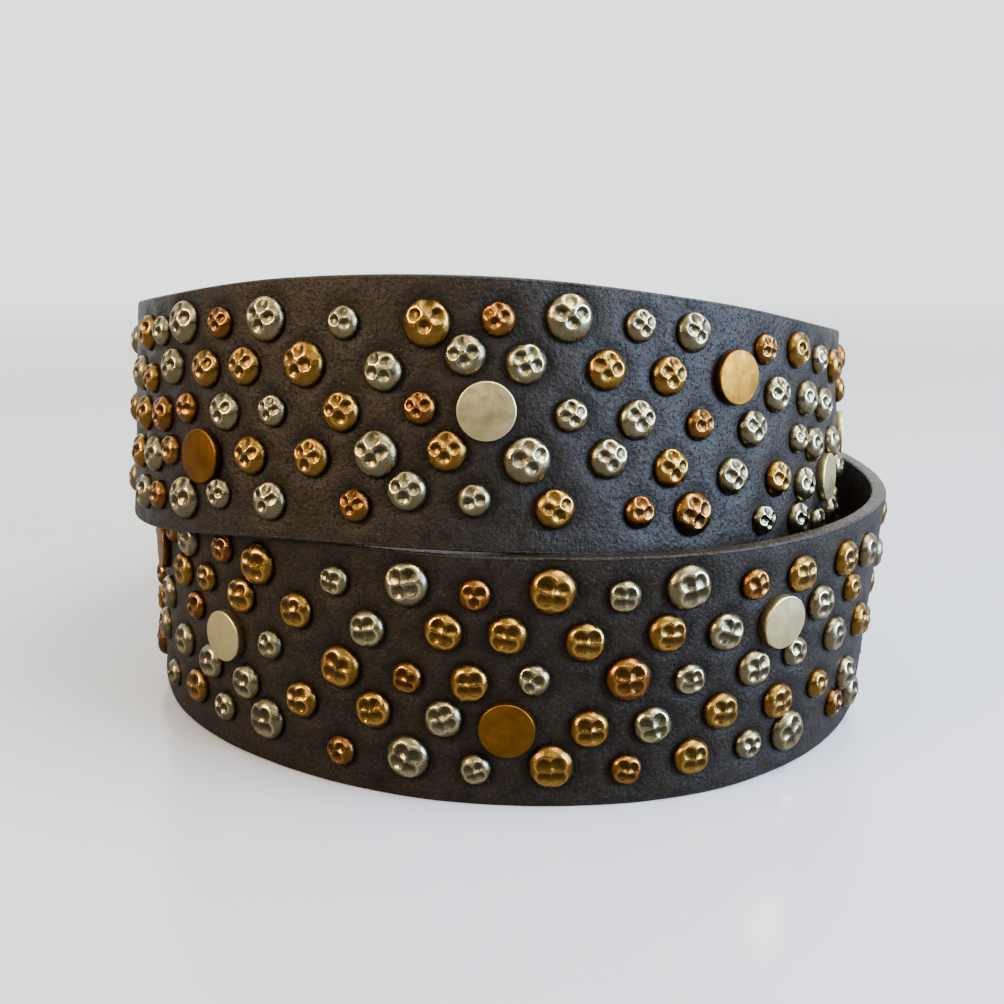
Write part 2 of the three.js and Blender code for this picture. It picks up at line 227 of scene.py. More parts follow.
def read_word(word):
    rises = len(word) - len(word.rstrip("^"))
    drops = len(word) - len(word.rstrip("v"))
    digits = word.rstrip("^v")
    shift = int(digits[2:]) if len(digits) > 2 else 0
    up = NUDGE * (rises - drops)
    return {"metal": word[0], "size": int(word[1]), "along": NUDGE * shift, "up": up}


def charted_studs():
    studs = []
    column = FIRST_COLUMN
    for chart, start, end, share in STRETCHES:
        for i in range(start, end):
            for row, line in enumerate(chart):
                stud = read_word(line.split()[i])
                back = STUD_PITCH / 2 if row % 2 else 0
                stud["length"] = column - back + stud["along"]
                stud["height"] = STRAP_WIDTH - ROW_MARGIN - row * ROW_PITCH + stud["up"]
                studs.append(stud)
            column += STUD_PITCH * share
    return studs


STUDS = charted_studs()
DISCS = [stud for stud in STUDS if stud["size"] == 4]


def own_place(stud, depth):
    place = stations(stud["length"])
    return place.point(np.array([depth]), np.array([stud["height"]]))[0]


# The frame's origin stands under the middle of the outline, so the winding is moved until its
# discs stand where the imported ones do
def frame_shift():
    middle_depth = -(SEAT_GAP + DISC_THICKNESS / 2)
    gaps = []
    for i, disc in enumerate(DISCS):
        low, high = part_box(f"disc_{i + 1:02d}")
        centre = (np.array(low) + np.array(high)) / 2 / MM
        gaps.append(centre - own_place(disc, middle_depth))
    shift = np.mean(gaps, axis=0)
    return np.array([shift[0], shift[1], 0.0])


SHIFT = frame_shift()


# Meshes

def new_object(name, points, faces, smooth=True):
    """An object in metres from points in millimetres."""
    mesh = bpy.data.meshes.new(name)
    mesh.from_pydata((np.asarray(points) * MM).tolist(), [], faces)
    mesh.validate()
    mesh.update()
    if smooth:
        mesh.polygons.foreach_set("use_smooth", [True] * len(mesh.polygons))
    piece = bpy.data.objects.new(name, mesh)
    bpy.context.scene.collection.objects.link(piece)
    return piece


def add_attribute(piece, name, values):
    layer = piece.data.attributes.new(name, "FLOAT", "POINT")
    layer.data.foreach_set("value", np.asarray(values, dtype=np.float32))


def grid_faces(rows, columns, closed):
    faces = []
    for i in range(rows - 1):
        for j in range(columns if closed else columns - 1):
            a, b = i * columns + j, i * columns + (j + 1) % columns
            faces.append((a, a + columns, b + columns, b))
    return faces


def dome_faces(bands, segments):
    """Faces from a middle point over the bands between its rings, closed under the last ring."""
    faces = [(0, 1 + (j + 1) % segments, 1 + j) for j in range(segments)]
    for i in range(bands):
        for j in range(segments):
            a, b = 1 + i * segments + j, 1 + i * segments + (j + 1) % segments
            faces.append((a, b, b + segments, a + segments))
    first = 1 + bands * segments
    faces.append(tuple(range(first, first + segments)))
    return faces


# Leather strap

# Cells over the outer face, the inner one and each rounded edge, and a cell's length
FACE_CELLS = 46
BACK_CELLS = 16
EDGE_CELLS = 5
LENGTH_CELL = 1.0
FOLD_STATIONS = 36
BEND_STATIONS = 16
TIP_STATIONS = 26
BEND_LENGTH = 20.0

# The hollow round each stud, as a depth, a reach and a share of the stud's radius where it ends
DENT_DEPTH = 0.42
DENT_REACH = 2.6
DENT_START = 0.9
DISC_DENT_SHARE = 0.6
# Reach of the painted shade round each stud and disc
SHADE_RING_REACH = 1.3

# Two soft waves of the leather: cell along, cell across, seed and share of the depth
WAVE_DEPTH = 0.13
WAVES = ((11.0, 9.0, 3.7, 1.0), (4.5, 4.0, 9.1, 0.5))


def perimeter():
    """The strap's section as depth and height, its share of outer face, and its share of rim."""
    half = STRAP_WIDTH / 2
    r = EDGE_RADIUS
    rows = []
    back = STRAP_THICKNESS - r
    corner = [(math.sin(a), math.cos(a)) for a in np.linspace(0, math.pi / 2, EDGE_CELLS + 1)]
    for k in np.linspace(-half + r, half - r, FACE_CELLS + 1):
        rows.append((0.0, k, 1.0, 0.0))
    for sin, cos in corner[1:]:
        rows.append((r - r * cos, half - r + r * sin, cos, sin))
    rows.append((STRAP_THICKNESS / 2, half, 0.0, 1.0))
    for sin, cos in corner:
        rows.append((back + r * sin, half - r + r * cos, 0.0, cos))
    for k in np.linspace(half - r, -half + r, BACK_CELLS + 1)[1:]:
        rows.append((STRAP_THICKNESS, k, 0.0, 0.0))
    for sin, cos in corner[1:]:
        rows.append((back + r * cos, -half + r - r * sin, 0.0, sin))
    rows.append((STRAP_THICKNESS / 2, -half, 0.0, 1.0))
    for sin, cos in corner[:-1]:
        rows.append((r - r * sin, -half + r - r * cos, sin, cos))
    return np.array(rows)


def bar_middle(start):
    """Where the buckle's bar passes, in plan, behind the strap's first station."""
    return start.face[0] - start.normal[0] * (STRAP_THICKNESS + BEND_RADIUS)


def strap_stations():
    """The strap from the fold's end, round the bar and along the coil to the tip."""
    start = stations(0.0)
    back = np.linspace(FOLD_LENGTH, 0, FOLD_STATIONS)[:-1]
    fold = stations(back)
    ease = np.clip(back / FOLD_TAPER, 0, 1)
    open_share = 1 - ease ** 2 * (3 - 2 * ease)
    inward = 2 * STRAP_THICKNESS + 2 * BEND_RADIUS * open_share
    fold.face = fold.face - fold.normal * inward[:, None]
    fold.normal = -fold.normal
    fold.lean = -fold.lean

    tangent = np.array([-start.normal[0][1], start.normal[0][0]])
    angles = np.linspace(0, math.pi, BEND_STATIONS)[:-1]
    normal = -np.cos(angles)[:, None] * start.normal[0] - np.sin(angles)[:, None] * tangent
    bend_face = bar_middle(start) + normal * (BEND_RADIUS + STRAP_THICKNESS)
    ones = np.ones(len(angles))
    bend = Stations(bend_face, normal, start.base[0] * ones, start.lean[0] * ones, ones)

    body = np.arange(0, STRAP_LENGTH - TIP_LENGTH, LENGTH_CELL)
    shares = np.sin(np.linspace(0, math.pi / 2, TIP_STATIONS)[:-1])
    tip = STRAP_LENGTH - TIP_LENGTH * (1 - shares)
    main = stations(np.concatenate([body, tip]))
    main.width = np.concatenate([np.ones(len(body)), np.sqrt(1 - shares ** 2)])
    bend_lengths = BEND_LENGTH * (angles / math.pi - 1)
    lengths = np.concatenate([-BEND_LENGTH - back, bend_lengths, body, tip])
    return joined(fold, bend, main), lengths


def stud_field(lengths, heights, reach, value):
    """The largest value that any stud gives to each length and height within its reach."""
    field = np.zeros((len(lengths), len(heights)))
    for stud in STUDS:
        disc = stud["size"] == 4
        radius = (DISC_DIAMETER if disc else STUD_SIZES[stud["size"]][0]) / 2
        near = np.abs(lengths - stud["length"]) < radius + reach
        along = lengths[near][:, None] - stud["length"]
        distance = np.hypot(along, heights[None, :] - stud["height"])
        field[near] = np.maximum(field[near], value(distance, radius, disc))
    return field


def dent_depth(distance, radius, disc):
    """How far a stud pulls the leather in."""
    share = np.clip(1 - (distance - radius * DENT_START) / DENT_REACH, 0, 1)
    return DENT_DEPTH * (DISC_DENT_SHARE if disc else 1) * share ** 2 * (3 - 2 * share)


def shade_ring_share(distance, radius, disc):
    """Painted shade: the dark line round a stud or a disc where the leather meets it."""
    return np.clip(1 - (distance - radius) / SHADE_RING_REACH, 0, 1)


def wave_share(length, height):
    return sum(share * noise.noise((length / cell, height / across, seed))
               for cell, across, seed, share in WAVES)


def make_strap():
    loop = perimeter()
    places, lengths = strap_stations()
    count, size = len(lengths), len(loop)
    width = places.width[:, None]
    height = STRAP_WIDTH / 2 + loop[:, 1][None, :] * width
    flat_height = loop[:, 1] + STRAP_WIDTH / 2
    depth, _, outer, rim = (np.repeat(loop[:, k][None, :], count, 0) for k in range(4))
    depth = depth + stud_field(lengths, flat_height, DENT_REACH, dent_depth) * outer
    waves = np.array([[wave_share(length, h) for h in loop[:, 1]] for length in lengths])
    depth = depth + WAVE_DEPTH * waves * outer
    wide = Stations(places.face[:, None, :], places.normal[:, None, :], places.base[:, None],
                    places.lean[:, None], width)
    points = wide.point(depth, height).reshape(-1, 3) + SHIFT
    faces = grid_faces(count, size, closed=True)
    faces.append(tuple(range(size)))
    faces.append(tuple(reversed(range((count - 1) * size, count * size))))
    strap = new_object("leather_strap", points, faces)
    # Painted shade in a ring round each stud and disc
    rings = stud_field(lengths, flat_height, SHADE_RING_REACH, shade_ring_share)
    add_attribute(strap, "rim", rim.ravel())
    add_attribute(strap, "outer", np.clip(outer * 1.5, 0, 1).ravel())
    add_attribute(strap, "ring", (rings * outer).ravel())
    return strap


# Holes and the prong's slot

HOLE_SEGMENTS = 36


def punch_points(length):
    angle = np.linspace(0, 2 * math.pi, HOLE_SEGMENTS, endpoint=False)
    ring = np.stack([np.cos(angle), 0 * angle, np.sin(angle)], -1) * HOLE_DIAMETER / 2
    reach = np.array([0, 1.5 * STRAP_THICKNESS, 0])
    place = {"length": length, "height": STRAP_WIDTH / 2}
    return on_face(np.concatenate([ring + reach, ring - reach]), place, STRAP_THICKNESS / 2)


def slot_points():
    start = stations(0.0)
    bar = bar_middle(start)
    ahead = np.array([start.normal[0][1], -start.normal[0][0]])
    reach = BEND_RADIUS + STRAP_THICKNESS + 1
    half = PRONG_DIAMETER / 2 + SLOT_CLEARANCE
    middle = start.base[0] + STRAP_WIDTH / 2
    corners = ((-SLOT_LENGTH, -reach), (reach, -reach), (reach, reach), (-SLOT_LENGTH, reach))
    points = []
    for z in (middle + half, middle - half):
        for x, y in corners:
            plan = bar + x * ahead + y * start.normal[0]
            points.append((*plan, z))
    return np.array(points) + SHIFT


def cut_strap(strap):
    """Cuts the five holes and the prong's slot out of the leather."""
    solids = [slot_points()]
    solids += [punch_points(STRAP_LENGTH - FIRST_HOLE - i * HOLE_PITCH) for i in range(HOLE_COUNT)]
    points, faces = np.concatenate(solids), []
    offset = 0
    for solid in solids:
        count = len(solid) // 2
        faces.append(tuple(offset + k for k in range(count)))
        faces.append(tuple(offset + count + k for k in reversed(range(count))))
        for k in range(count):
            after = (k + 1) % count
            faces.append((offset + after, offset + k, offset + count + k, offset + count + after))
        offset += len(solid)
    cutter = new_object("cutter", points, faces, smooth=False)
    sides = bmesh.new()
    sides.from_mesh(cutter.data)
    bmesh.ops.recalc_face_normals(sides, faces=sides.faces)
    sides.to_mesh(cutter.data)
    sides.free()
    modifier = strap.modifiers.new("cut", "BOOLEAN")
    modifier.operation, modifier.object, modifier.solver = "DIFFERENCE", cutter, "EXACT"
    finished = strap.evaluated_get(bpy.context.evaluated_depsgraph_get())
    mesh = bpy.data.meshes.new_from_object(finished)
    strap.modifiers.clear()
    strap.data = mesh
    bpy.data.objects.remove(cutter)


# Hammered studs

STUD_RINGS = 22
STUD_SEGMENTS = 48
STUD_FOOT = 0.9
STUD_SINK = 0.15
RIDGE_WIDTH = 0.16
SKIRT_WIDTH = 0.035
DOME_FLATNESS = 2.5
DOME_SHOULDER = 0.56
FOOT_SPREAD = 1.01

# Bowls on each turn: start in degrees, then rise, spread and reach as shares of the radius;
# half of the small studs have three bowls, with a spread and reach of their own
BOWLS_HIGH = (90, 0.20, 0.42, 0.32)
BOWLS_LOW = (45, 0.06, 0.39, 0.38)
THREE_BOWLS = (0.36, 0.37)
THREE_SHARE = 0.5
BOWL_DEPTH = 0.26


def stud_points(diameter, height, dimples):
    """Local points of one domed stud (along, out, up), its patina with painted shade on the bowls' upper
    halves, its worn ridges with a painted highlight on the bowls' lower halves, and painted shade at its
    foot.
    """
    radius = diameter / 2
    step = np.linspace(0, 1, STUD_RINGS + 1)[1:]
    ring = 0.5 * step + 0.5 * np.sin(step * math.pi / 2)
    angle = np.linspace(0, 2 * math.pi, STUD_SEGMENTS, endpoint=False)
    share = np.concatenate([[0.0], np.repeat(ring, STUD_SEGMENTS)])
    theta = np.concatenate([[0.0], np.tile(angle, STUD_RINGS)])
    x, y = share * np.cos(theta), share * np.sin(theta)
    hollow, patina_and_shade, painted_bowl_highlight, worn_ridge_and_highlight = (np.zeros_like(x) for _ in range(4))
    for cx, cy, reach, depth in dimples:
        distance = np.hypot(x - cx, y - cy) / reach
        bowl = np.clip(1 - distance ** 2, 0, 1)
        hollow = np.maximum(hollow, depth * bowl)
        # Painted shade: the upper half of each bowl is darkened as if lit from above, on top of the patina
        # in the hollow
        shade = np.clip(0.62 + 0.62 * (y - cy) / reach, 0, 1)
        patina_and_shade = np.maximum(patina_and_shade, np.sqrt(bowl) * shade)
        # Painted highlight on the lower half of each bowl, carried with the worn ridges
        painted_bowl_highlight = np.maximum(painted_bowl_highlight, np.sqrt(bowl) * np.clip(-2 * (y - cy) / reach - 0.5, 0, 1))
        worn_ridge_and_highlight = np.maximum(worn_ridge_and_highlight, np.exp(-((distance - 1.02) / RIDGE_WIDTH) ** 2))
    worn_ridge_and_highlight = np.maximum(worn_ridge_and_highlight * (1 - np.clip(hollow / 0.10, 0, 1)), 0.8 * painted_bowl_highlight)
    out = height * ((1 - share ** DOME_FLATNESS) ** DOME_SHOULDER - hollow)
    foot = np.stack([radius * FOOT_SPREAD * np.cos(angle), np.full(STUD_SEGMENTS, -STUD_FOOT),
                     radius * FOOT_SPREAD * np.sin(angle)], -1)
    points = np.concatenate([np.stack([radius * x, out, radius * y], -1), foot])
    # Painted shade round the stud's edge and foot, where it meets the leather
    skirt_shade = np.concatenate([np.clip((share + SKIRT_WIDTH - 1) / SKIRT_WIDTH, 0, 1), np.ones(STUD_SEGMENTS)])
    blank = np.zeros(STUD_SEGMENTS)
    return points, np.concatenate([patina_and_shade, blank]), np.concatenate([worn_ridge_and_highlight, blank]), skirt_shade


def dimple_pattern(stud):
    """Bowls of one stud: place along and up, reach and depth, as shares of its radius and height."""
    high = np.interp(stud["length"], ARC_LENGTHS, ARC_TURNS) > HIGH_TURN_STARTS
    start, rise, spread, wide = BOWLS_HIGH if high else BOWLS_LOW
    count = 3 if stud["size"] == 1 and rng.random() < THREE_SHARE else 4
    if count == 3:
        spread, wide = THREE_BOWLS
    start = math.radians(start) + rng.normal(0, 0.20)
    rise += rng.normal(0, 0.04)
    aside = rng.normal(0, 0.05)
    dimples = []
    for k in range(count):
        angle = start + 2 * math.pi * k / count + rng.normal(0, 0.06)
        away = spread * (1 + rng.normal(0, 0.05))
        reach = wide * (1 + rng.normal(0, 0.06))
        depth = BOWL_DEPTH * (1 + rng.normal(0, 0.12))
        dimples.append((aside + away * math.cos(angle), rise + away * math.sin(angle), reach, depth))
    return dimples


DIMPLES = [None if stud["size"] == 4 else dimple_pattern(stud) for stud in STUDS]


def local_frame(place):
    normal, lean = place.normal[0], place.lean[0]
    out = np.array([normal[0] * math.cos(lean), normal[1] * math.cos(lean), -math.sin(lean)])
    along = np.array([normal[1], -normal[0], 0.0])
    return along, out, np.cross(along, out)


def on_face(points, stud, depth):
    place = stations(stud["length"])
    along, out, up = local_frame(place)
    centre = place.point(np.array([depth]), np.array([stud["height"]]))[0]
    return centre + points @ np.stack([along, out, up]) + SHIFT


def make_studs(name, metal, size):
    points, faces, marks = [], [], []
    template = dome_faces(STUD_RINGS, STUD_SEGMENTS)
    for stud, dimples in zip(STUDS, DIMPLES):
        if (stud["metal"], stud["size"]) != (metal, size):
            continue
        local, *values = stud_points(*STUD_SIZES[size], dimples)
        offset = len(points) * len(local)
        tint = np.full(len(local), rng.random())
        points.append(on_face(local, stud, STUD_SINK))
        marks.append([*values, tint])
        faces += [tuple(k + offset for k in face) for face in template]
    piece = new_object(name, np.concatenate(points), faces)
    for i, mark in enumerate(("patina_and_shade", "worn_ridge_and_highlight", "skirt_shade", "tint")):
        add_attribute(piece, mark, np.concatenate([values[i] for values in marks]))
    return piece


# Flat discs

DISC_SEGMENTS = 64
DISC_BEVEL = 0.25
DISC_CROWN = 0.16
DISC_FOOT = 0.5


def disc_profile():
    """Radius and height over the leather, from the middle of the face to the foot."""
    radius, top = DISC_DIAMETER / 2, SEAT_GAP + DISC_THICKNESS
    profile = [(radius * k, top - DISC_CROWN * k ** 2) for k in (0.2, 0.4, 0.6, 0.8)]
    edge, shoulder = radius - DISC_BEVEL, top - DISC_CROWN
    profile.append((edge - 0.1, shoulder))
    for angle in np.linspace(0, math.pi / 2, 5):
        drop = DISC_BEVEL * (1 - math.cos(angle))
        profile.append((edge + DISC_BEVEL * math.sin(angle), shoulder - drop))
    profile.append((radius, -DISC_FOOT))
    return profile, top


def make_discs(name, metal):
    profile, middle = disc_profile()
    angle = np.linspace(0, 2 * math.pi, DISC_SEGMENTS, endpoint=False)
    local = [np.array([[0.0, middle, 0.0]])]
    for radius, out in profile:
        flat = np.full(DISC_SEGMENTS, out)
        local.append(np.stack([radius * np.cos(angle), flat, radius * np.sin(angle)], -1))
    local = np.concatenate(local)
    template = dome_faces(len(profile) - 1, DISC_SEGMENTS)
    points, faces, nodes = [], [], []
    for i, disc in enumerate(DISCS):
        if disc["metal"] != metal:
            continue
        offset = len(nodes) * len(local)
        points.append(on_face(local, disc, 0.0))
        faces += [tuple(k + offset for k in face) for face in template]
        nodes.append(f"disc_{i + 1:02d}")
    return new_object(name, np.concatenate(points), faces), nodes


# Materials

class Nodes:
    """Short calls for one material's node tree."""

    def __init__(self, name):
        self.material = bpy.data.materials.new(name)
        self.material.use_nodes = True
        self.tree = self.material.node_tree
        self.shader = self.tree.nodes["Principled BSDF"]

    def add(self, kind, **values):
        node = self.tree.nodes.new(kind)
        for key, value in values.items():
            if key in node.inputs:
                node.inputs[key].default_value = value
            else:
                setattr(node, key, value)
        return node

    def link(self, source, target):
        self.tree.links.new(source, target)

    def place(self):
        return self.add("ShaderNodeTexCoord").outputs["Object"]

    def attribute(self, name):
        return self.add("ShaderNodeAttribute", attribute_name=name).outputs["Fac"]

    def noise(self, scale, detail=4.0, roughness=0.55, vector=None):
        node = self.add("ShaderNodeTexNoise", Scale=scale, Detail=detail, Roughness=roughness)
        self.link(vector or self.place(), node.inputs["Vector"])
        return node.outputs["Fac"]

    def cells(self, scale):
        node = self.add("ShaderNodeTexVoronoi", Scale=scale)
        self.link(self.place(), node.inputs["Vector"])
        return node.outputs["Distance"]

    def scratches(self, scale):
        """Thin curved lines where two stretched noises cross their middle."""
        lines = []
        for turn in (0.4, 2.2):
            node = self.add("ShaderNodeMapping")
            node.inputs["Rotation"].default_value = (turn, turn, 0.5 * turn)
            node.inputs["Scale"].default_value = (1, 0.09, 1)
            self.link(self.place(), node.inputs["Vector"])
            wave = self.noise(scale / 4, 2, 0.5, node.outputs[0])
            value = self.math("ABSOLUTE", self.math("SUBTRACT", wave, 0.5), 0)
            lines.append(self.range(value, 0.0, 0.005, 1.0, 0.0))
        return self.math("MAXIMUM", *lines)

    def range(self, source, low, high, to_low=0.0, to_high=1.0):
        node = self.add("ShaderNodeMapRange")
        self.link(source, node.inputs["Value"])
        ends = {"From Min": low, "From Max": high, "To Min": to_low, "To Max": to_high}
        for key, value in ends.items():
            node.inputs[key].default_value = value
        return node.outputs["Result"]

    def math(self, operation, a, b):
        node = self.add("ShaderNodeMath", operation=operation)
        for socket, value in zip(node.inputs, (a, b)):
            if hasattr(value, "links"):
                self.link(value, socket)
            else:
                socket.default_value = value
        return node.outputs[0]

    def mix(self, factor, a, b):
        node = self.add("ShaderNodeMix", data_type="RGBA")
        colours = [s for s in node.inputs if s.type == "RGBA"]
        for socket, value in zip((node.inputs[0], colours[0], colours[1]), (factor, a, b)):
            if hasattr(value, "links"):
                self.link(value, socket)
            elif isinstance(value, (int, float)):
                socket.default_value = value
            else:
                socket.default_value = (*value, 1.0)
        return [s for s in node.outputs if s.type == "RGBA"][0]

    def bump(self, height, distance, strength=1.0, normal=None):
        node = self.add("ShaderNodeBump", Distance=distance, Strength=strength)
        self.link(height, node.inputs["Height"])
        if normal is not None:
            self.link(normal, node.inputs["Normal"])
        return node.outputs["Normal"]

    def set(self, **values):
        for key, value in values.items():
            socket = self.shader.inputs[key.replace("_", " ")]
            if hasattr(value, "links"):
                self.link(value, socket)
            elif isinstance(value, tuple):
                socket.default_value = (*value, 1.0)
            else:
                socket.default_value = value


LEATHER = {
    "dark": (0.0019, 0.0012, 0.0006),
    "brown": (0.0058, 0.0036, 0.0017),
    "worn": (0.0130, 0.0084, 0.0040),
    "fleck": (0.050, 0.038, 0.024),
    "pore": (0.0010, 0.0008, 0.0007),
    # ring: painted shade round the studs and discs
    "ring": (0.0008, 0.0006, 0.0005),
    "edge_dark": (0.0050, 0.0036, 0.0020),
    "edge_light": (0.014, 0.0100, 0.0056),
    "flesh_dark": (0.008, 0.006, 0.0045),
    "flesh_light": (0.020, 0.015, 0.011),
    "sheen": (1.0, 0.86, 0.68),
}


def leather_material():
    """Patches, mottle, flecks and pores, painted shade in rings round the studs, paler edge and inner side.
    """
    n = Nodes("worn_leather")
    rim, outer = n.attribute("rim"), n.attribute("outer")
    patches = n.range(n.noise(55, 5), 0.38, 0.64)
    mottle = n.range(n.noise(420, 4, 0.6), 0.35, 0.68)
    base = n.mix(patches, LEATHER["dark"], LEATHER["brown"])
    base = n.mix(n.math("MULTIPLY", mottle, 0.6), base, LEATHER["worn"])
    flecks = n.range(n.noise(2600, 3, 0.7), 0.54, 0.70)
    base = n.mix(n.math("MULTIPLY", flecks, 0.6), base, LEATHER["fleck"])
    pores = n.range(n.noise(1300, 3, 0.75), 0.30, 0.42)
    base = n.mix(pores, LEATHER["pore"], base)
    # Painted shade round the studs and discs
    base = n.mix(n.math("MULTIPLY", n.attribute("ring"), 0.85), base, LEATHER["ring"])
    edge = n.mix(n.noise(600, 3), LEATHER["edge_dark"], LEATHER["edge_light"])
    base = n.mix(n.math("MULTIPLY", rim, 0.8), base, edge)
    flesh = n.mix(n.noise(900, 3), LEATHER["flesh_dark"], LEATHER["flesh_light"])
    inner = n.range(outer, 0.0, 0.25, 1.0, 0.0)
    base = n.mix(n.math("MULTIPLY", inner, n.range(rim, 0.2, 0.6, 1.0, 0.0)), base, flesh)
    normal = n.bump(n.noise(260, 4), 0.0003, 0.35)
    normal = n.bump(n.cells(1100), 0.00016, 0.5, normal)
    normal = n.bump(pores, 0.00025, 0.8, normal)
    normal = n.bump(n.noise(2300, 4, 0.65), 0.00020, 0.75, normal)
    crinkle = n.math("MULTIPLY", n.noise(1100, 3, 0.6), rim)
    normal = n.bump(crinkle, 0.0005, 0.8, normal)
    rough = n.range(mottle, 0, 1, 0.36, 0.52)
    rough = n.math("SUBTRACT", rough, n.math("MULTIPLY", rim, 0.14))
    n.set(Base_Color=base, Normal=normal, Roughness=rough)
    n.set(Specular_IOR_Level=0.20, Specular_Tint=LEATHER["sheen"])
    return n.material


# Shares of a metal's bright colour where it is dull, on its darkest studs, and on worn ridges and the
# painted highlight in the bowls' lower halves
DULL_SHARE = 0.72
DARK_STUD_SHARE = 0.60
RIDGE_SHARE = 2.7


def metal_material(name, bright, deep, roughness):
    """Hammered metal: patina with painted shade in the bowls' upper halves, worn ridges with a painted
    highlight in the bowls' lower halves, and painted shade at each stud's foot.
    """
    n = Nodes(name)
    patina_and_shade, worn_ridge_and_highlight = n.attribute("patina_and_shade"), n.attribute("worn_ridge_and_highlight")
    tint, skirt_shade = n.attribute("tint"), n.attribute("skirt_shade")
    tone = n.mix(n.range(n.noise(420, 4, 0.6), 0.34, 0.66), bright, [DULL_SHARE * c for c in bright])
    tone = n.mix(n.math("MULTIPLY", tint, 0.5), tone, [DARK_STUD_SHARE * c for c in bright])
    # Patina in the bowls, with painted shade on their upper halves
    tone = n.mix(n.math("MULTIPLY", patina_and_shade, 0.95), tone, deep)
    # Worn ridges, and a painted highlight on the bowls' lower halves
    tone = n.mix(n.math("MULTIPLY", worn_ridge_and_highlight, 0.9), tone, [RIDGE_SHARE * c for c in bright])
    specks = n.range(n.noise(2400, 3, 0.7), 0.58, 0.70, 0.0, 0.55)
    tone = n.mix(specks, tone, deep)
    # Painted shade at the stud's edge and foot
    tone = n.mix(n.math("MULTIPLY", skirt_shade, 0.5), tone, deep)
    n.set(Base_Color=tone, Metallic=1.0)
    rough = n.range(n.noise(900, 3), 0.3, 0.7, roughness - 0.05, roughness + 0.12)
    n.set(Roughness=n.math("SUBTRACT", rough, n.math("MULTIPLY", worn_ridge_and_highlight, 0.08)))
    n.set(Normal=n.bump(n.noise(1400, 3), 0.00014, 0.6))
    return n.material


def satin_material(name, bright, deep):
    """The discs' brushed metal, with faint scratches and specks."""
    n = Nodes(name)
    tone = n.mix(n.range(n.noise(300, 5, 0.65), 0.36, 0.66), bright, deep)
    scratch = n.scratches(2600)
    tone = n.mix(n.math("MULTIPLY", scratch, 0.12), tone, [1.5 * c for c in bright])
    specks = n.range(n.noise(2200, 3, 0.7), 0.60, 0.72, 0.0, 0.5)
    tone = n.mix(specks, tone, [0.4 * c for c in deep])
    n.set(Base_Color=tone, Metallic=1.0)
    n.set(Roughness=n.range(n.noise(600, 4), 0.3, 0.7, 0.30, 0.44))
    normal = n.bump(n.noise(180, 2), 0.00012, 0.35)
    n.set(Normal=n.bump(scratch, 0.00002, 0.25, normal))
    return n.material


def floor_material():
    """A pale floor that fades out far away and throws little light back on the part."""
    n = Nodes("pale_floor")
    n.set(Base_Color=FLOOR_COLOUR, Roughness=0.19, Specular_IOR_Level=0.95)
    fade = n.add("ShaderNodeTexGradient", gradient_type="SPHERICAL")
    scale = n.add("ShaderNodeVectorMath", operation="SCALE")
    scale.inputs["Scale"].default_value = 1 / FLOOR_RADIUS
    n.link(n.place(), scale.inputs[0])
    n.link(scale.outputs[0], fade.inputs["Vector"])
    clear = n.add("ShaderNodeBsdfTransparent")
    mixer = n.add("ShaderNodeMixShader")
    n.link(n.range(fade.outputs["Fac"], 0.05, 0.7), mixer.inputs["Fac"])
    n.link(clear.outputs[0], mixer.inputs[1])
    dim = n.add("ShaderNodeBsdfDiffuse")
    dim.inputs["Color"].default_value = (*FLOOR_BOUNCE, 1)
    rays = n.add("ShaderNodeLightPath")
    seen = n.add("ShaderNodeMixShader")
    n.link(rays.outputs["Is Camera Ray"], seen.inputs["Fac"])
    n.link(dim.outputs[0], seen.inputs[1])
    n.link(n.shader.outputs[0], seen.inputs[2])
    n.link(seen.outputs[0], mixer.inputs[2])
    n.link(mixer.outputs[0], n.tree.nodes["Material Output"].inputs["Surface"])
    return n.material


# Stage

# Metres, where the objects above are in millimetres
FLOOR_RADIUS = 1.6
FLOOR_SEGMENTS = 96
FLOOR_COLOUR = (0.47, 0.472, 0.468)
FLOOR_BOUNCE = (0.17, 0.17, 0.173)

# The world: what the camera sees, what lights the part by height, and a brighter wall behind,
# which fades in between two shares of the way back
SKY_SEEN = (2.15, 2.21, 2.26, 1)
SKY_STOPS = (
    (0.0, (0.20, 0.20, 0.21)),
    (0.5, (0.08, 0.08, 0.085)),
    (0.68, (0.30, 0.30, 0.31)),
    (1.0, (2.0, 2.0, 2.0)),
)
BACKDROP = (2.0, 2.04, 2.08, 1)
BACKDROP_EDGE = (0.15, 0.6)

# Lights: place, target, size, power and colour
LIGHTS = {
    "overhead": ((0.34, -0.14, 0.76), (0, 0, 0.03), (0.55, 0.42), 13, (1.0, 0.99, 0.975)),
    "front": ((0.05, -0.85, 0.60), (0, 0, 0.05), (0.50, 0.20), 2.4, (1.0, 0.98, 0.93)),
    "front_left": ((-0.60, -0.40, 0.40), (0, 0, 0.06), (0.30, 0.30), 9, (1.0, 0.75, 0.50)),
    "right": ((0.72, -0.30, 0.26), (0, 0, 0.06), (0.50, 0.44), 36, (0.38, 0.57, 1.0)),
}


def make_floor():
    angle = np.linspace(0, 2 * math.pi, FLOOR_SEGMENTS, endpoint=False)
    ring = FLOOR_RADIUS * np.stack([np.cos(angle), np.sin(angle), 0 * angle], -1) / MM
    floor = new_object("floor", ring, [tuple(range(FLOOR_SEGMENTS))], smooth=False)
    floor.data.materials.append(floor_material())


def make_light(name, place, target, size, power, colour):
    data = bpy.data.lights.new(name, "AREA")
    data.shape = "RECTANGLE"
    data.size, data.size_y = size
    data.energy, data.color = power, colour
    light = bpy.data.objects.new(name, data)
    light.location = place
    light.rotation_euler = (Vector(target) - Vector(place)).to_track_quat("-Z", "Y").to_euler()
    bpy.context.scene.collection.objects.link(light)


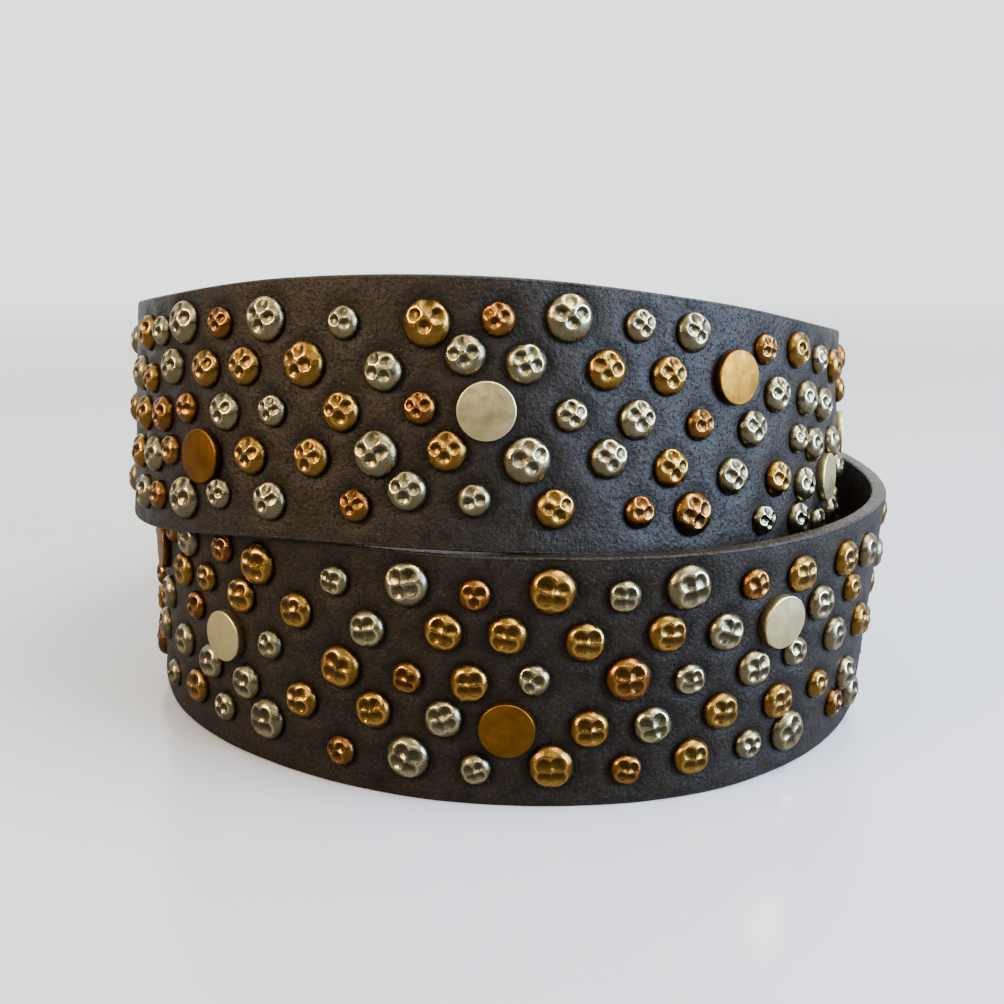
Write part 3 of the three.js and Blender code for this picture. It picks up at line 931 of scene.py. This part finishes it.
def make_world():
    world = bpy.data.worlds.new("studio")
    bpy.context.scene.world = world
    world.use_nodes = True
    tree = world.node_tree
    background = tree.nodes["Background"]
    seen = tree.nodes.new("ShaderNodeBackground")
    seen.inputs["Color"].default_value = SKY_SEEN
    coords = tree.nodes.new("ShaderNodeTexCoord")
    split = tree.nodes.new("ShaderNodeSeparateXYZ")
    ramp = tree.nodes.new("ShaderNodeValToRGB")
    shift = tree.nodes.new("ShaderNodeMapRange")
    shift.inputs["From Min"].default_value = -1
    tree.links.new(coords.outputs["Generated"], split.inputs[0])
    tree.links.new(split.outputs["Z"], shift.inputs["Value"])
    tree.links.new(shift.outputs[0], ramp.inputs[0])
    ends = ramp.color_ramp.elements
    for end, (position, colour) in zip(ends, (SKY_STOPS[0], SKY_STOPS[-1])):
        end.position, end.color = position, (*colour, 1)
    for position, colour in SKY_STOPS[1:-1]:
        ends.new(position).color = (*colour, 1)
    behind = tree.nodes.new("ShaderNodeMapRange")
    behind.inputs["From Min"].default_value, behind.inputs["From Max"].default_value = BACKDROP_EDGE
    tree.links.new(split.outputs["Y"], behind.inputs["Value"])
    backdrop = tree.nodes.new("ShaderNodeMix")
    backdrop.data_type = "RGBA"
    backdrop.inputs[7].default_value = BACKDROP
    tree.links.new(behind.outputs[0], backdrop.inputs[0])
    tree.links.new(ramp.outputs[0], backdrop.inputs[6])
    tree.links.new(backdrop.outputs[2], background.inputs["Color"])
    path = tree.nodes.new("ShaderNodeLightPath")
    mixer = tree.nodes.new("ShaderNodeMixShader")
    tree.links.new(path.outputs["Is Camera Ray"], mixer.inputs[0])
    tree.links.new(background.outputs[0], mixer.inputs[1])
    tree.links.new(seen.outputs[0], mixer.inputs[2])
    tree.links.new(mixer.outputs[0], tree.nodes["World Output"].inputs["Surface"])


def make_camera():
    data = bpy.data.cameras.new("camera")
    data.sensor_width = 36.0
    data.lens = CAMERA_FOCAL_PIXELS / IMAGE_PIXELS * data.sensor_width
    data.clip_start = 0.01
    camera = bpy.data.objects.new("camera", data)
    camera.location = [value * MM for value in CAMERA_PLACE]
    camera.rotation_euler = (math.radians(90 - CAMERA_PITCH), 0, 0)
    bpy.context.scene.collection.objects.link(camera)
    bpy.context.scene.camera = camera


# The camera, in pixels, degrees and millimetres
IMAGE_PIXELS = 1004
CAMERA_FOCAL_PIXELS = 1081
CAMERA_PITCH = 14.2
CAMERA_PLACE = (-0.48, -251.35, 97.5)

make_camera()
make_world()
make_floor()
for light_name, settings in LIGHTS.items():
    make_light(light_name, *settings)

strap = make_strap()
cut_strap(strap)
strap.data.materials.append(leather_material())
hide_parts("strap")
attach(strap, "root")

# Slot, bright and deep colour, and roughness
METALS = {
    "S": ("silver", (0.215, 0.174, 0.084), (0.011, 0.0085, 0.0040), 0.25),
    "G": ("brass", (0.225, 0.116, 0.0195), (0.012, 0.0050, 0.0008), 0.25),
    "C": ("copper", (0.185, 0.077, 0.0145), (0.012, 0.0042, 0.0010), 0.25),
}
SIZE_NAMES = {1: "small", 2: "medium", 3: "large"}
for letter, (slot, bright, deep, roughness) in METALS.items():
    finish = metal_material(f"hammered_{slot}", bright, deep, roughness)
    for size, size_name in SIZE_NAMES.items():
        studs = make_studs(f"studs_{slot}_{size_name}", letter, size)
        studs.data.materials.append(finish)
        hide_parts("strap")
        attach(studs, "root")

# Bright and deep colour of the discs
SATINS = {
    "S": ((0.70, 0.555, 0.245), (0.53, 0.415, 0.175)),
    "G": ((0.215, 0.088, 0.0065), (0.120, 0.047, 0.003)),
}
for letter, (bright, deep) in SATINS.items():
    slot = METALS[letter][0]
    discs, nodes = make_discs(f"discs_{slot}", letter)
    discs.data.materials.append(satin_material(f"satin_{slot}", bright, deep))
    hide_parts(*nodes)
    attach(discs, "root")

BUCKLE_BRASS = ((0.66, 0.43, 0.14), (0.17, 0.09, 0.025), 0.3)
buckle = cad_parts["buckle"]
buckle.data.materials.clear()
buckle.data.materials.append(metal_material("buckle_brass", *BUCKLE_BRASS))
